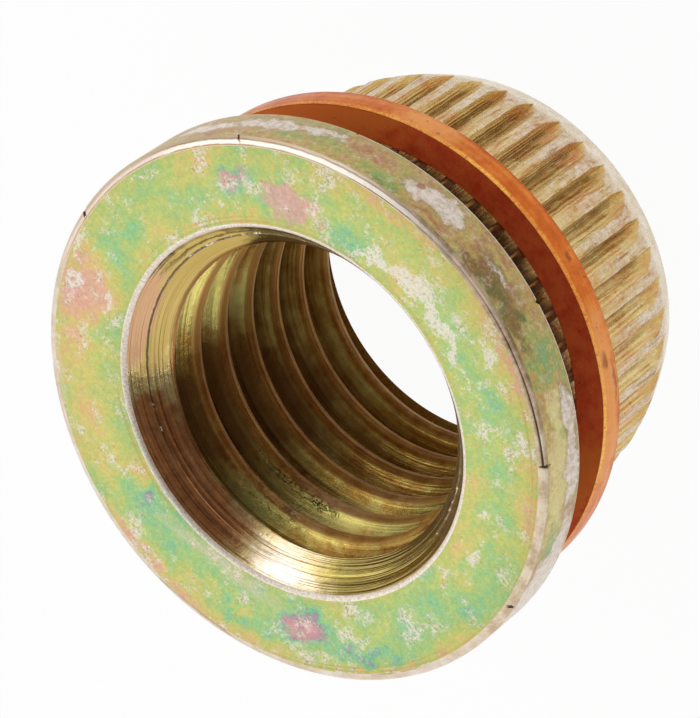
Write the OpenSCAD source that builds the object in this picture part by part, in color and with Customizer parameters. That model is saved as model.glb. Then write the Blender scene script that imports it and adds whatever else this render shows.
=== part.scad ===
// Threaded insert: a turned, knurled and tapped bush with a thick flange,
// and the flat copper sealing ring pushed over its knurl.
// Millimetres, +Z up. The insert stands on its nose, its flange face up.
// The origin is on the axis, in the plane the nose stands on.

/* [Thread] */
// Nominal (major) diameter of the internal thread
thread_d = 12; // [8:0.5:20]
// Thread pitch
thread_pitch = 1.5; // [1:0.25:2]
// Flat steps of the thread groove in one turn
thread_steps = 40; // [24:4:48]

/* [Body] */
// Overall length, flange face to nose
length = 11.8; // [9:0.1:24]
// Metal between the thread's major radius and the knurl's crests
shank_wall = 1.5; // [1.2:0.05:4]
// How far the flange stands out past the knurl's crests
flange_lip = 1.65; // [1.2:0.05:4]
// Flange thickness
flange_t = 2.05; // [1.5:0.05:4]
// Width of the bevel round the flange face, measured on the face
flange_bevel = 0.28; // [0.1:0.02:0.5]

/* [Knurl] */
// Number of straight grooves round the shank
groove_count = 45; // [24:1:60]
// Depth of each V groove below the crests
groove_depth = 0.35; // [0.2:0.01:0.45]
// Width of the flat land left on each crest
crest_land = 0.31; // [0.15:0.01:0.5]

/* [Mouth] */
// Radius added to the thread's major radius at the flange face
mouth_extra = 0.35; // [0.2:0.01:0.5]
// Depth of the steep lead-in band below the flange face
lead_in_h = 0.63; // [0.4:0.01:0.8]
// Half angle of the countersink cone
sink_angle = 36; // [30:1:45]

/* [Nose] */
// Height of the rounded nose above the standing plane
nose_h = 2.0; // [1.5:0.1:3]
// How much smaller the nose's end radius is than the crests
nose_drop = 0.66; // [0.5:0.02:0.8]
// Height of the countersink in the nose
tail_sink_h = 1.2; // [0.8:0.05:1.4]

/* [Sealing ring] */
// Radial clearance between the ring and the knurl's crests
ring_clear = 0.05; // [0.02:0.01:0.2]
// Radial width of the ring
ring_w = 1.06; // [0.6:0.02:1.4]
// Thickness of the ring
ring_t = 0.95; // [0.5:0.05:1.5]
// Gap between the back of the flange and the ring
ring_stand = 2.45; // [0.2:0.05:4]

/* [Show] */
// Sub-part to build

/* [Hidden] */
$fn = 96;

major_r = thread_d / 2;
thread_depth = 0.54127 * thread_pitch;      // five eighths of the sharp height
minor_r = major_r - thread_depth;
tap_drift = 0.01;                           // one half of the bore is this much wider
knurl_r = major_r + shank_wall;
root_r = knurl_r - groove_depth;
first_groove_a = 0.5;                       // turning angle of the first groove
flange_r = knurl_r + flange_lip;
mouth_r = major_r + mouth_extra;
step_r = major_r - 0.2;                     // where lead-in and countersink meet
step_ledge = 0.06;                          // the little ledge between the two
edge = 0.1;                                 // rounding of handled edges
flange_z = length - flange_t;
ring_top = flange_z - ring_stand;
nose_r = knurl_r - nose_drop;
tail_r = minor_r + tail_sink_h;             // a 45 degree countersink

// Radius of the nose's outside at t, from 0 at the crests to 1 at its end.
function nose_at(t) = knurl_r - nose_drop * pow(t, 1.25);
nose_steps = 6;
nose_arc = [for (i = [0 : nose_steps - 1]) let (t = i / nose_steps)
    [nose_at(t), nose_h - (nose_h - edge) * t]];

// Half section of the turned outside, [radius, height].
outside = concat(
    [[0, 0], [nose_r - 1.2 * edge, 0], [nose_r, edge]],
    [for (i = [nose_steps - 1 : -1 : 0]) nose_arc[i]],
    [[knurl_r, flange_z],
     [flange_r - edge, flange_z], [flange_r, flange_z + edge],
     [flange_r, length - 0.55 * flange_bevel],
     [flange_r - flange_bevel, length], [0, length]]);

// Half section of the mouth: rolled edge, steep lead-in, ledge, countersink.
mouth = [[0, length + 1], [mouth_r, length + 1],
    [mouth_r, length], [mouth_r - 0.8 * edge, length - 0.3 * edge],
    [mouth_r - 1.6 * edge, length - 1.2 * edge],
    [step_r, length - lead_in_h],
    [step_r - step_ledge, length - lead_in_h - 0.3 * step_ledge],
    [0, length - lead_in_h - 0.3 * step_ledge
        - (step_r - step_ledge) / tan(sink_angle)]];

// Half width of the thread groove at radius r: sixty degree flanks.
function groove_half(r) = thread_pitch / 16 + (major_r - r) * tan(30);

// Height of the groove's middle at a turning angle, before its first turn.
thread_phase = 0.64;
start_a = 180 / thread_steps;
function groove_z(a) = thread_phase + thread_pitch * (a / 360 - 1);

// The groove runs from below the nose to the countersink, where it fades out.
thread_turns = ceil((length - 0.4 - thread_phase) / thread_pitch);
last_step = thread_turns * thread_steps;
fade_steps = 0.6 * thread_steps;
inner_r = minor_r - 0.12;

// Share of the full section left at step i, 1 until the fade begins.
function keep(i) = min(1, max(0.15, (last_step - i) / fade_steps));

// One four-cornered section of the groove at step i.
function section(i) = let (
        a = start_a + 360 * i / thread_steps,
        k = keep(i),
        top_r = minor_r + (major_r - minor_r) * k,
        low = groove_z(a) - groove_half(inner_r),
        high = low + 2 * groove_half(inner_r) * (0.3 + 0.7 * k),
        slope = (top_r - inner_r) * tan(30))
    [for (p = [[inner_r, low], [top_r, low + slope],
               [top_r, max(low + slope + 0.02, high - slope)], [inner_r, high]])
        [p[0] * cos(a), p[0] * sin(a), p[1]]];

module thread_groove() {
    points = [for (i = [0 : last_step]) each section(i)];
    sides = [for (i = [0 : last_step - 1], j = [0 : 3])
        let (a = 4 * i + j, b = 4 * i + (j + 1) % 4)
        each [[a, b, b + 4], [a, b + 4, a + 4]]];
    last = 4 * last_step;
    polyhedron(points, concat(sides, [[3, 2, 1], [3, 1, 0],
        [last, last + 1, last + 2], [last, last + 2, last + 3]]));
}

// One straight V groove of the knurl, from the flange out through the nose.
module knurl_groove() {
    half = PI * knurl_r / groove_count - crest_land / 2;
    reach = 1 + 0.06 / groove_depth;
    translate([0, 0, -1])
        linear_extrude(flange_z + 1)
            polygon([[root_r, 0], [root_r + reach * groove_depth, reach * half],
                     [root_r + reach * groove_depth, -reach * half]]);
}

// The drilled bore, in two halves of slightly different radius.
module bore() {
    for (side = [0, 1])
        rotate([0, 0, 180 * side])
            translate([0, 0, -1])
                rotate_extrude(angle = 180)
                    square([minor_r + side * tap_drift, length]);
}

module insert_body() {
    color([0.74, 0.72, 0.42])
        difference() {
            rotate([0, 0, first_groove_a + 180 / groove_count])
                rotate_extrude() polygon(outside);
            rotate_extrude() polygon(mouth);
            bore();
            translate([0, 0, -1]) cylinder(h = tail_r + 1, r1 = tail_r + 1, r2 = 0);
            for (i = [0 : groove_count - 1])
                rotate([0, 0, first_groove_a + 360 * i / groove_count]) knurl_groove();
            thread_groove();
        }
}

module sealing_ring() {
    inner = knurl_r + ring_clear;
    outer = inner + ring_w;
    bevel = 0.06;
    color([0.80, 0.40, 0.18])
        translate([0, 0, ring_top - ring_t])
            rotate_extrude()
                polygon([[inner, 0.5 * bevel], [inner + 0.5 * bevel, 0],
                         [outer - bevel, 0], [outer, bevel],
                         [outer, ring_t - 3 * bevel], [outer - bevel, ring_t],
                         [inner + 0.5 * bevel, ring_t], [inner, ring_t - 0.5 * bevel]]);
}

insert_body();
sealing_ring();
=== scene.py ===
"""A press-in threaded insert, dressed: its flanged, knurled and tapped body and its copper sealing ring."""

import logging
import math
import random
from dataclasses import dataclass
from enum import Enum
from typing import Any, Callable, Sequence, Union

import bpy
from mathutils import Matrix, Vector


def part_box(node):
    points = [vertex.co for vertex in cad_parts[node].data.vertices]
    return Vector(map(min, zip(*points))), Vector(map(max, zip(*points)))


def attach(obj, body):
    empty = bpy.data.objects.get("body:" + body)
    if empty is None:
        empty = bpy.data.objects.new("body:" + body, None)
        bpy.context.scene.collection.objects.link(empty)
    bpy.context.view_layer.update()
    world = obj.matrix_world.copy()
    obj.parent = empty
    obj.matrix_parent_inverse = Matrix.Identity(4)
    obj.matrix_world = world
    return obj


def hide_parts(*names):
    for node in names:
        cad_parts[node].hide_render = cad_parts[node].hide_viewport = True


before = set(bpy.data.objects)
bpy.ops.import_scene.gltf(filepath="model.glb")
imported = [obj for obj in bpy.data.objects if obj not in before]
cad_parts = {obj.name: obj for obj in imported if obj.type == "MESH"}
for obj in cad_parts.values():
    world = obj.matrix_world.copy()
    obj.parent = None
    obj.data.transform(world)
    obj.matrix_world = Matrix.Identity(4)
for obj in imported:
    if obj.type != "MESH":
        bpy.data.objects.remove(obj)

MM = 0.001  # one millimetre, in metres
FULL_TURN = 2 * math.pi
DRAWN_GAP = 0.0005  # corners of a new mesh that are this close are joined, in millimetres
CUT_GAP = 0.00002  # the same for a mesh that has been cut
SMOOTH_ANGLE = math.radians(28)  # facets that meet more sharply than this keep their edge
THREAD_DEPTH = 0.54127  # depth of a metric thread, in pitches
RING_PLAY = 0.05  # room between the knurl's crests and the ring, in millimetres

Point = tuple[float, float]
Colour = tuple[float, float, float]
Stop = tuple[float, Colour]
Inputs = dict[Union[str, int], Any]

log = logging.getLogger("insert")


class Node(Enum):
    """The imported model's nodes."""

    BODY = "insert_body"
    RING = "sealing_ring"


# ---------------------------------------------------------------------------
# The bench: the few modelling steps that every piece is made with
# ---------------------------------------------------------------------------


class Bench:
    """Edit-mode steps, with sizes in millimetres. One object is worked on at a time."""

    @staticmethod
    def clear() -> None:
        """Leave nothing selected."""
        bpy.ops.object.select_all(action="DESELECT")

    @staticmethod
    def take(work: bpy.types.Object) -> None:
        """Select one object and make it the active one.

        Args:
            work: The object to work on.
        """
        Bench.clear()
        work.select_set(True)
        bpy.context.view_layer.objects.active = work

    @staticmethod
    def edit(work: bpy.types.Object) -> None:
        """Enter edit mode on one object, with its whole mesh selected.

        Args:
            work: The object to work on.
        """
        Bench.take(work)
        bpy.ops.object.mode_set(mode="EDIT")
        bpy.ops.mesh.select_all(action="SELECT")

    @staticmethod
    def draw(name: str, points: Sequence[tuple[float, float, float]]) -> bpy.types.Object:
        """Draw a chain of edges and stay in edit mode.

        Args:
            name: The new object's name.
            points: The chain's corners.

        Returns:
            The new object, its last corner selected.
        """
        Bench.clear()
        bpy.ops.mesh.primitive_plane_add(size=MM)
        work = bpy.context.object
        work.name = name
        bpy.ops.object.mode_set(mode="EDIT")
        bpy.ops.mesh.select_all(action="SELECT")
        bpy.ops.mesh.merge(type="CENTER")
        bpy.ops.transform.translate(value=Vector(points[0]) * MM)
        for last, here in zip(points, points[1:]):
            step = (Vector(here) - Vector(last)) * MM
            bpy.ops.mesh.extrude_region_move(TRANSFORM_OT_translate={"value": step})
        return work

    @staticmethod
    def finish() -> None:
        """Join what coincides, turn the faces outwards and leave edit mode."""
        bpy.ops.mesh.select_all(action="SELECT")
        bpy.ops.mesh.remove_doubles(threshold=DRAWN_GAP * MM)
        bpy.ops.mesh.normals_make_consistent(inside=False)
        bpy.ops.object.mode_set(mode="OBJECT")

    @staticmethod
    def turn(name: str, outline: Sequence[Point], steps: int) -> bpy.types.Object:
        """Turn a half section about the Z axis into a closed solid.

        Args:
            name: The new object's name.
            outline: Radius and height of each corner. It starts and ends on the axis, or its ends meet.
            steps: Facets in a full turn.

        Returns:
            The turned solid.
        """
        work = Bench.draw(name, [(r, 0.0, z) for r, z in outline])
        bpy.ops.mesh.select_all(action="SELECT")
        bpy.ops.mesh.spin(steps=steps, angle=FULL_TURN, center=(0, 0, 0), axis=(0, 0, 1))
        Bench.finish()
        return work

    @staticmethod
    def bar(name: str, section: Sequence[Point], low: float, high: float, lengths: int) -> bpy.types.Object:
        """Pull a flat section up along Z.

        Args:
            name: The new object's name.
            section: The section's corners, x and y.
            low: Height of the bar's foot.
            high: Height of its top.
            lengths: How many lengths it is pulled in.

        Returns:
            The bar.
        """
        work = Bench.draw(name, [(x, y, low) for x, y in section])
        bpy.ops.mesh.select_all(action="SELECT")
        bpy.ops.mesh.edge_face_add()
        for _ in range(lengths):
            step = (0, 0, (high - low) / lengths * MM)
            bpy.ops.mesh.extrude_region_move(TRANSFORM_OT_translate={"value": step})
        Bench.finish()
        return work

    @staticmethod
    def reshape(work: bpy.types.Object, rule: Callable[[Vector], Vector]) -> None:
        """Move each corner of a mesh by a rule.

        Args:
            work: The object to reshape.
            rule: Gives a corner's new place for its old one, both in millimetres.
        """
        for corner in work.data.vertices:
            corner.co = rule(corner.co / MM) * MM

    @staticmethod
    def roughen(work: bpy.types.Object, reach: float, shake: random.Random) -> None:
        """Shift each corner of a mesh at random.

        Args:
            work: The object to roughen.
            reach: How far a corner is shifted at most.
            shake: Where the shifts come from.
        """
        Bench.edit(work)
        bpy.ops.transform.vertex_random(offset=reach * MM, uniform=1.0, seed=shake.randrange(9999))
        bpy.ops.object.mode_set(mode="OBJECT")

    @staticmethod
    def weld(work: bpy.types.Object) -> None:
        """Join the corners that the cutters left on top of each other.

        Args:
            work: The cut solid.
        """
        Bench.edit(work)
        bpy.ops.mesh.remove_doubles(threshold=CUT_GAP * MM)
        bpy.ops.object.mode_set(mode="OBJECT")

    @staticmethod
    def smooth(work: bpy.types.Object) -> None:
        """Shade a finished mesh smoothly, except over its edges.

        Args:
            work: The finished object.
        """
        Bench.take(work)
        bpy.ops.object.shade_smooth_by_angle(angle=SMOOTH_ANGLE)

    @staticmethod
    def join(parts: Sequence[bpy.types.Object]) -> bpy.types.Object:
        """Join several objects that don't touch.

        Args:
            parts: The objects.

        Returns:
            The joined object.
        """
        Bench.take(parts[0])
        for part in parts:
            part.select_set(True)
        bpy.ops.object.join()
        return parts[0]

    @staticmethod
    def cut(work: bpy.types.Object, *tools: bpy.types.Object) -> None:
        """Cut each tool's shape out of the work and put the tool away.

        Args:
            work: The solid that is cut.
            tools: Closed solids, the cutters.
        """
        for tool in tools:
            Bench.take(work)
            step = work.modifiers.new("cut", "BOOLEAN")
            step.operation = "DIFFERENCE"
            step.solver = "MANIFOLD"
            step.object = tool
            bpy.ops.object.modifier_apply(modifier=step.name)
            bpy.data.objects.remove(tool)


# ---------------------------------------------------------------------------
# The dressing table: shader maths written as expressions
# ---------------------------------------------------------------------------


SMOOTH_STEP = {"interpolation_type": "SMOOTHSTEP"}


class Value:
    """A number that changes over the surface. Sums on it make Math nodes."""

    def __init__(self, wiring: "Wiring", socket: bpy.types.NodeSocket) -> None:
        """Wrap a socket.

        Args:
            wiring: The node tree that it belongs to.
            socket: An output socket that carries a number.
        """
        self.wiring = wiring
        self.socket = socket

    def math(self, operation: str, *terms: "Number") -> "Value":
        """Add one Math node, with this number first.

        Args:
            operation: The node's operation.
            terms: Its other inputs in order.

        Returns:
            The node's result.
        """
        inputs: Inputs = dict(enumerate((self, *terms)))
        node = self.wiring.node("ShaderNodeMath", {"operation": operation}, inputs)
        return Value(self.wiring, node.outputs[0])

    def __add__(self, other: "Number") -> "Value":
        """Return the sum."""
        return self.math("ADD", other)

    __radd__ = __add__

    def __sub__(self, other: "Number") -> "Value":
        """Return the difference."""
        return self.math("SUBTRACT", other)

    def __rsub__(self, other: "Number") -> "Value":
        """Return the difference, taken from a plain number."""
        return (-self).math("ADD", other)

    def __mul__(self, other: "Number") -> "Value":
        """Return the product."""
        return self.math("MULTIPLY", other)

    __rmul__ = __mul__

    def __truediv__(self, other: "Number") -> "Value":
        """Return the quotient."""
        return self.math("DIVIDE", other)

    def __pow__(self, other: "Number") -> "Value":
        """Return the power."""
        return self.math("POWER", other)

    def __neg__(self) -> "Value":
        """Return the opposite."""
        return self.math("MULTIPLY", -1.0)

    def __abs__(self) -> "Value":
        """Return the distance from nought."""
        return self.math("ABSOLUTE")

    def most(self, other: "Number") -> "Value":
        """Return the larger of two."""
        return self.math("MAXIMUM", other)

    def saw(self) -> "Value":
        """Return the part after the decimal point."""
        return self.math("FRACT")

    def rise(self, low: "Number", high: float) -> "Value":
        """Go smoothly from 0 at low to 1 at high; low may be the larger.

        Args:
            low: Where it is 0.
            high: Where it is 1.

        Returns:
            A number from 0 to 1.
        """
        inputs: Inputs = {"Value": self, "From Min": low, "From Max": high, "To Min": 0.0, "To Max": 1.0}
        if not isinstance(low, Value) and low > high:
            inputs.update({"From Min": high, "From Max": low, "To Min": 1.0, "To Max": 0.0})
        return Value(self.wiring, self.wiring.node("ShaderNodeMapRange", SMOOTH_STEP, inputs).outputs[0])

    def band(self, low: float, full: float, fading: float, high: float) -> "Value":
        """Go smoothly from 0 up to 1 and back.

        Args:
            low: Where it leaves 0.
            full: Where it reaches 1.
            fading: Where it leaves 1.
            high: Where it is 0 again.

        Returns:
            A number from 0 to 1.
        """
        return self.rise(low, full) * self.rise(high, fading)


Number = Union[Value, float]
Paint = Union[bpy.types.NodeSocket, Colour]


class Wiring:
    """One node tree and the method that adds its nodes."""

    def __init__(self, tree: bpy.types.NodeTree) -> None:
        """Start with the tree empty.

        Args:
            tree: The node tree.
        """
        self.tree = tree
        tree.nodes.clear()

    @staticmethod
    def _set_stops(band: bpy.types.ColorRamp, stops: Sequence[Stop]) -> None:
        """Give a ramp its stops.

        Args:
            band: The ramp, as its node starts with it.
            stops: Numbers and their colours, lowest first.
        """
        while len(band.elements) < len(stops):
            band.elements.new(0.5)
        for element, (at, colour) in zip(band.elements, stops):
            element.position = at
            element.color = (*colour, 1.0)

    def node(self, kind: str, settings: dict[str, Any], inputs: Inputs) -> bpy.types.Node:
        """Add one node.

        Args:
            kind: The node's type.
            settings: Its properties, or the stops of a ramp, set before its inputs.
            inputs: Values or links, by the socket's name or place.

        Returns:
            The node.
        """
        node = self.tree.nodes.new(kind)
        for key, setting in settings.items():
            if key == "stops":
                self._set_stops(node.color_ramp, setting)
            else:
                setattr(node, key, setting)
        for key, given in inputs.items():
            socket = node.inputs[key]
            if isinstance(given, Value):
                given = given.socket
            if isinstance(given, bpy.types.NodeSocket):
                self.tree.links.new(given, socket)
            elif isinstance(given, tuple) and socket.type == "RGBA":
                socket.default_value = (*given[:3], 1.0)
            else:
                socket.default_value = given
        return node

    def vector(self, operation: str, *terms: Any, scale: Number = 1.0) -> bpy.types.NodeSocket:
        """Add one Vector Math node.

        Args:
            operation: The node's operation.
            terms: Its vectors in order.
            scale: The factor of a SCALE node.

        Returns:
            The resulting vector, or the number for a LENGTH or DOT_PRODUCT node.
        """
        inputs: Inputs = dict(enumerate(terms))
        if operation == "SCALE":
            inputs["Scale"] = scale
        node = self.node("ShaderNodeVectorMath", {"operation": operation}, inputs)
        return node.outputs["Value" if operation in ("LENGTH", "DOT_PRODUCT") else 0]


class Dresser(Wiring):
    """Builds one material's nodes. Lengths in its patterns are in millimetres."""

    def __init__(self, name: str) -> None:
        """Start a material.

        Args:
            name: The material's name.
        """
        self.material = bpy.data.materials.new(name)
        self.material.use_nodes = True
        super().__init__(self.material.node_tree)
        place = self.node("ShaderNodeTexCoord", {}, {}).outputs["Object"]
        self.place = self.vector("SCALE", place, scale=1 / MM)
        parts = self.node("ShaderNodeSeparateXYZ", {}, {0: self.place}).outputs
        self.x, self.y, self.z = (Value(self, part) for part in parts)
        self.radius = (self.x * self.x + self.y * self.y) ** 0.5
        self.angle = self.y.math("ARCTAN2", self.x)

    def join(self, x: Number, y: Number, z: Number) -> bpy.types.NodeSocket:
        """Make a vector of three numbers."""
        return self.node("ShaderNodeCombineXYZ", {}, {0: x, 1: y, 2: z}).outputs[0]

    def noise(self, scale: float, detail: float = 3.0, rough: float = 0.5, place: Any = None) -> Value:
        """Add soft noise from 0 to 1, centred on a half.

        Args:
            scale: Lumps in a millimetre.
            detail: How many finer layers it has.
            rough: How strong they are.
            place: Where it is read; on the piece itself if left out.

        Returns:
            The noise.
        """
        inputs = {"Vector": place or self.place, "Scale": scale, "Detail": detail, "Roughness": rough}
        return Value(self, self.node("ShaderNodeTexNoise", {}, inputs).outputs[0])

    def warped(self, scale: float, reach: float) -> bpy.types.NodeSocket:
        """Shift places about at random, so that what is drawn there has a ragged outline.

        Args:
            scale: Lumps in a millimetre.
            reach: How far a place is moved at most.

        Returns:
            The shifted place.
        """
        inputs = {"Vector": self.place, "Scale": scale, "Detail": 4.0, "Roughness": 0.6}
        push = self.node("ShaderNodeTexNoise", {}, inputs).outputs["Color"]
        centred = self.vector("SUBTRACT", push, (0.5, 0.5, 0.5))
        return self.vector("ADD", self.place, self.vector("SCALE", centred, scale=2 * reach))

    def rings(self, along: Value, scale: float) -> Value:
        """Add the fine lines that a turning tool leaves, which run round the axis.

        Args:
            along: Distance across the lines.
            scale: Lines in a millimetre.

        Returns:
            Noise from 0 to 1.
        """
        swing = self.vector("NORMALIZE", self.join(self.x, self.y, 0.0))
        turn = self.vector("SCALE", swing, scale=0.6)
        place = self.vector("ADD", turn, self.join(0.0, 0.0, along * scale))
        return self.noise(1.0, 2.0, 0.6, place)

    def ramp(self, value: Value, stops: Sequence[Stop]) -> bpy.types.NodeSocket:
        """Turn a number into a colour, by stops that run from the lowest number up."""
        return self.node("ShaderNodeValToRGB", {"stops": stops}, {0: value}).outputs[0]

    def blend(self, share: Number, below: Paint, above: Paint, mode: str = "MIX") -> bpy.types.NodeSocket:
        """Lay one colour over another.

        Args:
            share: How much of the upper one shows.
            below: The lower colour.
            above: The upper colour.
            mode: How they mix.

        Returns:
            The resulting colour.
        """
        settings = {"data_type": "RGBA", "blend_type": mode, "clamp_factor": True}
        node = self.node("ShaderNodeMix", settings, {0: share, 6: below, 7: above})
        return node.outputs[2]

    def coat(
        self, colour: Any, metallic: Number, rough: Number, bump: Value, depth: float, sheen: float = 0.5
    ) -> bpy.types.Material:
        """Finish the material.

        Args:
            colour: Base colour.
            metallic: Share of bare metal.
            rough: Roughness.
            bump: Height of the fine relief, about 0 to 1.
            depth: Millimetres that a height of 1 stands for.
            sheen: Strength of the colourless shine where there is no bare metal.

        Returns:
            The material.
        """
        relief = self.node("ShaderNodeBump", {}, {"Height": bump, "Distance": depth * MM})
        inputs: Inputs = {"Base Color": colour, "Metallic": metallic, "Roughness": rough}
        inputs.update({"Specular IOR Level": sheen, "Normal": relief.outputs[0]})
        shader = self.node("ShaderNodeBsdfPrincipled", {}, inputs)
        self.node("ShaderNodeOutputMaterial", {}, {0: shader.outputs[0]})
        return self.material


def shade(red: int, green: int, blue: int) -> Colour:
    """Turn a colour as painted, 0 to 255, into light.

    Args:
        red: Red.
        green: Green.
        blue: Blue.

    Returns:
        The colour as the shader takes it.
    """
    parts = (part / 255 for part in (red, green, blue))
    linear = [part / 12.92 if part <= 0.04045 else ((part + 0.055) / 1.055) ** 2.4 for part in parts]
    return linear[0], linear[1], linear[2]


@dataclass(frozen=True)
class Stain:
    """A blot on the surface. Sizes are in millimetres, the angle in degrees."""

    angle: float
    radius: float
    height: float
    along: float
    across: float
    amount: float = 1.0

    def mask(self, dresser: Dresser, place: bpy.types.NodeSocket) -> Value:
        """Draw the blot.

        Args:
            dresser: The material's dresser.
            place: Where it is read.

        Returns:
            Its strength, amount at the middle and 0 outside.
        """
        turn = math.radians(self.angle)
        middle = (self.radius * math.cos(turn), self.radius * math.sin(turn), self.height)
        size = (self.across, self.along, self.across)
        inputs: Inputs = {"Vector": place, "Location": middle, "Rotation": (0.0, 0.0, turn), "Scale": size}
        local = dresser.node("ShaderNodeMapping", {"vector_type": "TEXTURE"}, inputs).outputs[0]
        far = Value(dresser, dresser.vector("LENGTH", local))
        return far.rise(1.0, 0.0) * self.amount


def spread(dresser: Dresser, stains: Sequence[Stain], reach: float) -> Value:
    """Add up several blots with wandering outlines.

    Args:
        dresser: The material's dresser.
        stains: The blots.
        reach: How far their outlines wander, in millimetres.

    Returns:
        The sum of their strengths.
    """
    place = dresser.warped(1.3, reach)
    total = stains[0].mask(dresser, place)
    for stain in stains[1:]:
        total = total + stain.mask(dresser, place)
    return total


def blots(dresser: Dresser, stains: Sequence[Stain], reach: float, ragged: float) -> Value:
    """Draw several blots with ragged, mottled outlines.

    Args:
        dresser: The material's dresser.
        stains: The blots.
        reach: How far their outlines wander, in millimetres.
        ragged: How strongly noise eats into them.

    Returns:
        Their strength, from 0 to 1.
    """
    return (spread(dresser, stains, reach) + (dresser.noise(1.9, 6.0, 0.72) - 0.5) * ragged).rise(0.1, 0.85)


class Zone(Enum):
    """The parts of the body that differ in finish, in the order of its material slots."""

    FACE = 0
    EDGE = 1
    RIM = 2
    SHANK = 3
    MOUTH = 4
    THREAD = 5


# ---------------------------------------------------------------------------
# The finishes
# ---------------------------------------------------------------------------


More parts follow.
